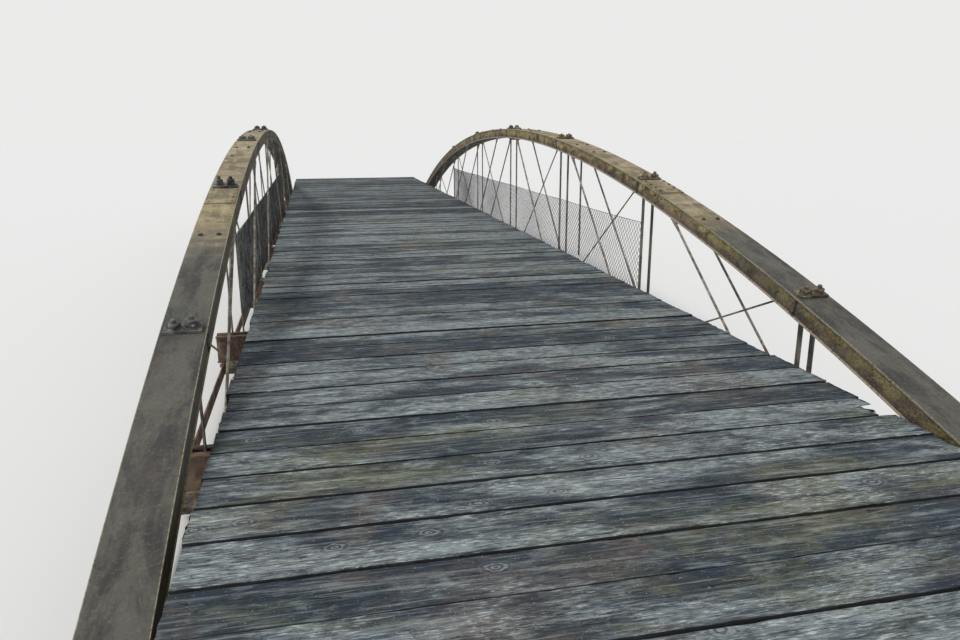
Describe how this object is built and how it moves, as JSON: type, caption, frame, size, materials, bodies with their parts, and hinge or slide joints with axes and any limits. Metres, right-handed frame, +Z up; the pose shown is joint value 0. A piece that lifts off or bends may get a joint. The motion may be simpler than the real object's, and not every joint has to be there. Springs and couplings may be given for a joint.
{
  "type": "bowstring arch truss bridge",
  "caption": "Bowstring arch pony truss bridge: riveted iron arches with posts and rod bracing carry floor beams, joists and a cross-plank deck, with wire mesh infill.",
  "frame": {"origin": "mid-span, on the centreline, at the underside of the bearing plates", "axes": "+X across the roadway, +Y along it, +Z up"},
  "size_m": [4.651, 24.604, 2.4283],
  "materials": {
    "arch_iron": "rusted brown wrought iron with pale lichen streaks",
    "arch_top_iron": "dull khaki rust with dark patches and lichen",
    "post_iron": "weathered grey-green with rust",
    "rod_iron": "weathered grey-tan iron",
    "beam_iron": "dark rust",
    "casting": "dark rough casting",
    "fence_wire": "dark weathered wire",
    "deck_wood": "weathered grey planks",
    "joist_wood": "dark damp timber"
  },
  "bodies": {
    "root": {"deck_planks": "deck_wood", "floor_beams": "beam_iron", "joists": "joist_wood", "left_arch_bottom_plate": "arch_iron", "left_arch_inner_side": "arch_iron", "left_arch_outer_side": "arch_iron", "left_arch_splice_plates": "arch_top_iron", "left_arch_top_plate": "arch_top_iron", "left_chord_blocks": "casting", "left_counters": "rod_iron", "left_far_shoe": "casting", "left_fence": "fence_wire", "left_inner_chord_bar": "beam_iron", "left_inner_diagonals": "rod_iron", "left_lone_upright": "post_iron", "left_near_shoe": "casting", "left_outer_chord_bar": "beam_iron", "left_outer_diagonals": "rod_iron", "left_post_caps": "casting", "left_posts": "post_iron", "right_arch_bottom_plate": "arch_iron", "right_arch_inner_side": "arch_iron", "right_arch_outer_side": "arch_iron", "right_arch_splice_plates": "arch_top_iron", "right_arch_top_plate": "arch_top_iron", "right_chord_blocks": "casting", "right_counters": "rod_iron", "right_far_shoe": "casting", "right_fence": "fence_wire", "right_inner_chord_bar": "beam_iron", "right_inner_diagonals": "rod_iron", "right_lone_upright": "post_iron", "right_near_shoe": "casting", "right_outer_chord_bar": "beam_iron", "right_outer_diagonals": "rod_iron", "right_post_caps": "casting", "right_posts": "post_iron"}
  },
  "joints": []
}
